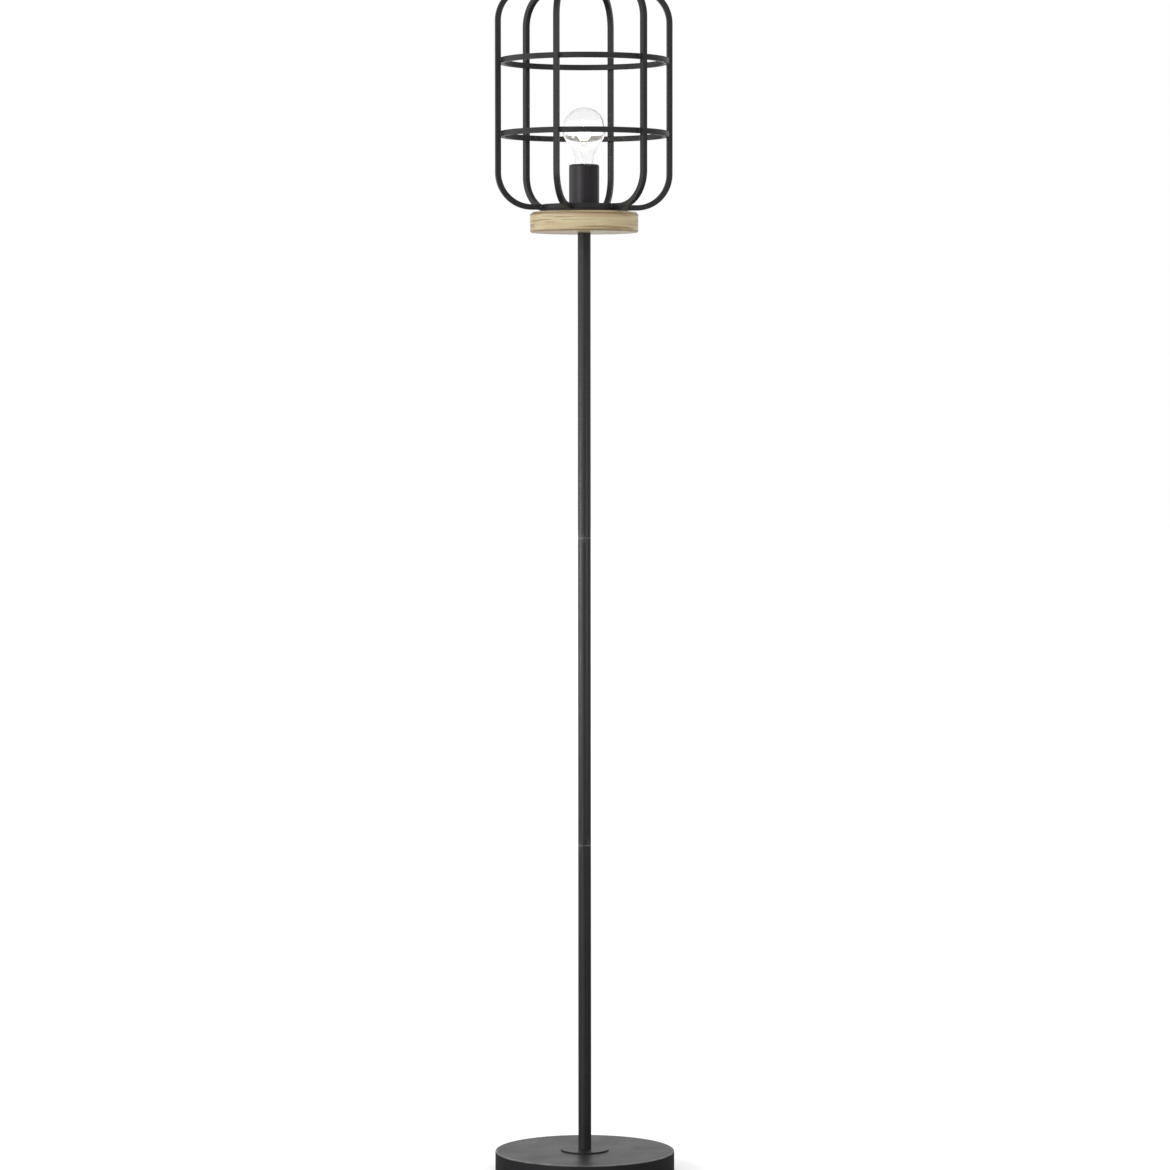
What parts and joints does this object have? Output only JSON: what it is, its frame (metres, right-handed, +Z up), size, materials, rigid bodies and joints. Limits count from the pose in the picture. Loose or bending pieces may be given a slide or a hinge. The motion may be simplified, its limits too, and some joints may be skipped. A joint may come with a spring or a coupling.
{
  "type": "floor lamp",
  "caption": "Floor lamp with a round weighted base, a slim sectional pole, a wood disc, and an open cage of square bar round a bare bulb.",
  "frame": {"origin": "centre of the base's underside, on the floor", "axes": "+Z up along the pole; the front is -Y and the cable outlet is at the back, on +Y"},
  "size_m": [0.25, 0.25, 1.65],
  "materials": {
    "black_coated_steel": "fine-textured matt black powder coat",
    "pad_foam": "soft foam rubber",
    "zinc_plated_steel": "zinc plated",
    "cast_iron_weight": "as cast",
    "bush_rubber": "matt moulded rubber",
    "pale_wood": "pale wood with a fine straight grain, oiled",
    "porcelain": "white glaze",
    "contact_brass": "bright",
    "cap_metal": "satin",
    "black_glass": "glossy black glass",
    "clear_glass": "clear",
    "lead_wire": "drawn wire",
    "glowing_filament": "glowing tungsten coil"
  },
  "bodies": {
    "root": {"base_shell": "black_coated_steel", "pole_flange": "black_coated_steel", "pole_tube_lower": "black_coated_steel", "pole_tube_middle": "black_coated_steel", "pole_tube_upper": "black_coated_steel", "cage_plate": "black_coated_steel", "cage_ring_bottom": "black_coated_steel", "cage_ring_top": "black_coated_steel", "cage_ring_lower": "black_coated_steel", "cage_ring_upper": "black_coated_steel", "holder_sleeve": "black_coated_steel", "cage_rib_1": "black_coated_steel", "cage_rib_2": "black_coated_steel", "cage_rib_3": "black_coated_steel", "cage_rib_4": "black_coated_steel", "cage_rib_5": "black_coated_steel", "cage_rib_6": "black_coated_steel", "base_pad": "pad_foam", "base_cover": "zinc_plated_steel", "base_weight": "cast_iron_weight", "cable_bush": "bush_rubber", "cover_screws": "zinc_plated_steel", "base_nipple": "zinc_plated_steel", "base_washer": "zinc_plated_steel", "base_nut": "zinc_plated_steel", "joint_nipple_lower": "zinc_plated_steel", "joint_nipple_upper": "zinc_plated_steel", "top_nipple": "zinc_plated_steel", "holder_nut": "zinc_plated_steel", "plate_screws": "zinc_plated_steel", "tube_insert_1": "zinc_plated_steel", "tube_insert_2": "zinc_plated_steel", "tube_insert_3": "zinc_plated_steel", "tube_insert_4": "zinc_plated_steel", "tube_insert_5": "zinc_plated_steel", "tube_insert_6": "zinc_plated_steel", "wood_disc": "pale_wood", "holder_base": "porcelain", "holder_body": "porcelain", "holder_thread": "contact_brass", "centre_terminal": "contact_brass", "terminal_screws": "contact_brass"},
    "bulb_carrier": {"bulb_contact": "cap_metal"},
    "bulb": {"bulb_insulator": "black_glass", "bulb_cap": "cap_metal", "bulb_glass": "clear_glass", "bulb_stem": "clear_glass", "bulb_leads": "lead_wire", "bulb_filament": "glowing_filament"},
    "contact_tongue": {"centre_tongue": "contact_brass"}
  },
  "joints": [
    {"name": "bulb_lift", "type": "slide", "parent": "root", "child": "bulb_carrier", "axis": [0, 0, 1], "range_m": [0, 0.0128]},
    {"name": "bulb_turn", "type": "hinge", "parent": "bulb_carrier", "child": "bulb", "pos_m": [0, 0, 1.39], "axis": [0, 0, 1], "range_deg": [0, 1260]},
    {"name": "tongue_bend", "type": "hinge", "parent": "root", "child": "contact_tongue", "pos_m": [-0.0064, 0, 1.3704], "axis": [0, 1, 0], "range_deg": [0, 6], "stiffness_Nm_per_rad": 0.02, "springref_deg": -5.73}
  ],
  "couplings": [
    {"joint": "bulb_lift", "follows": "bulb_turn", "m_per_rad": 0.00057757}
  ]
}
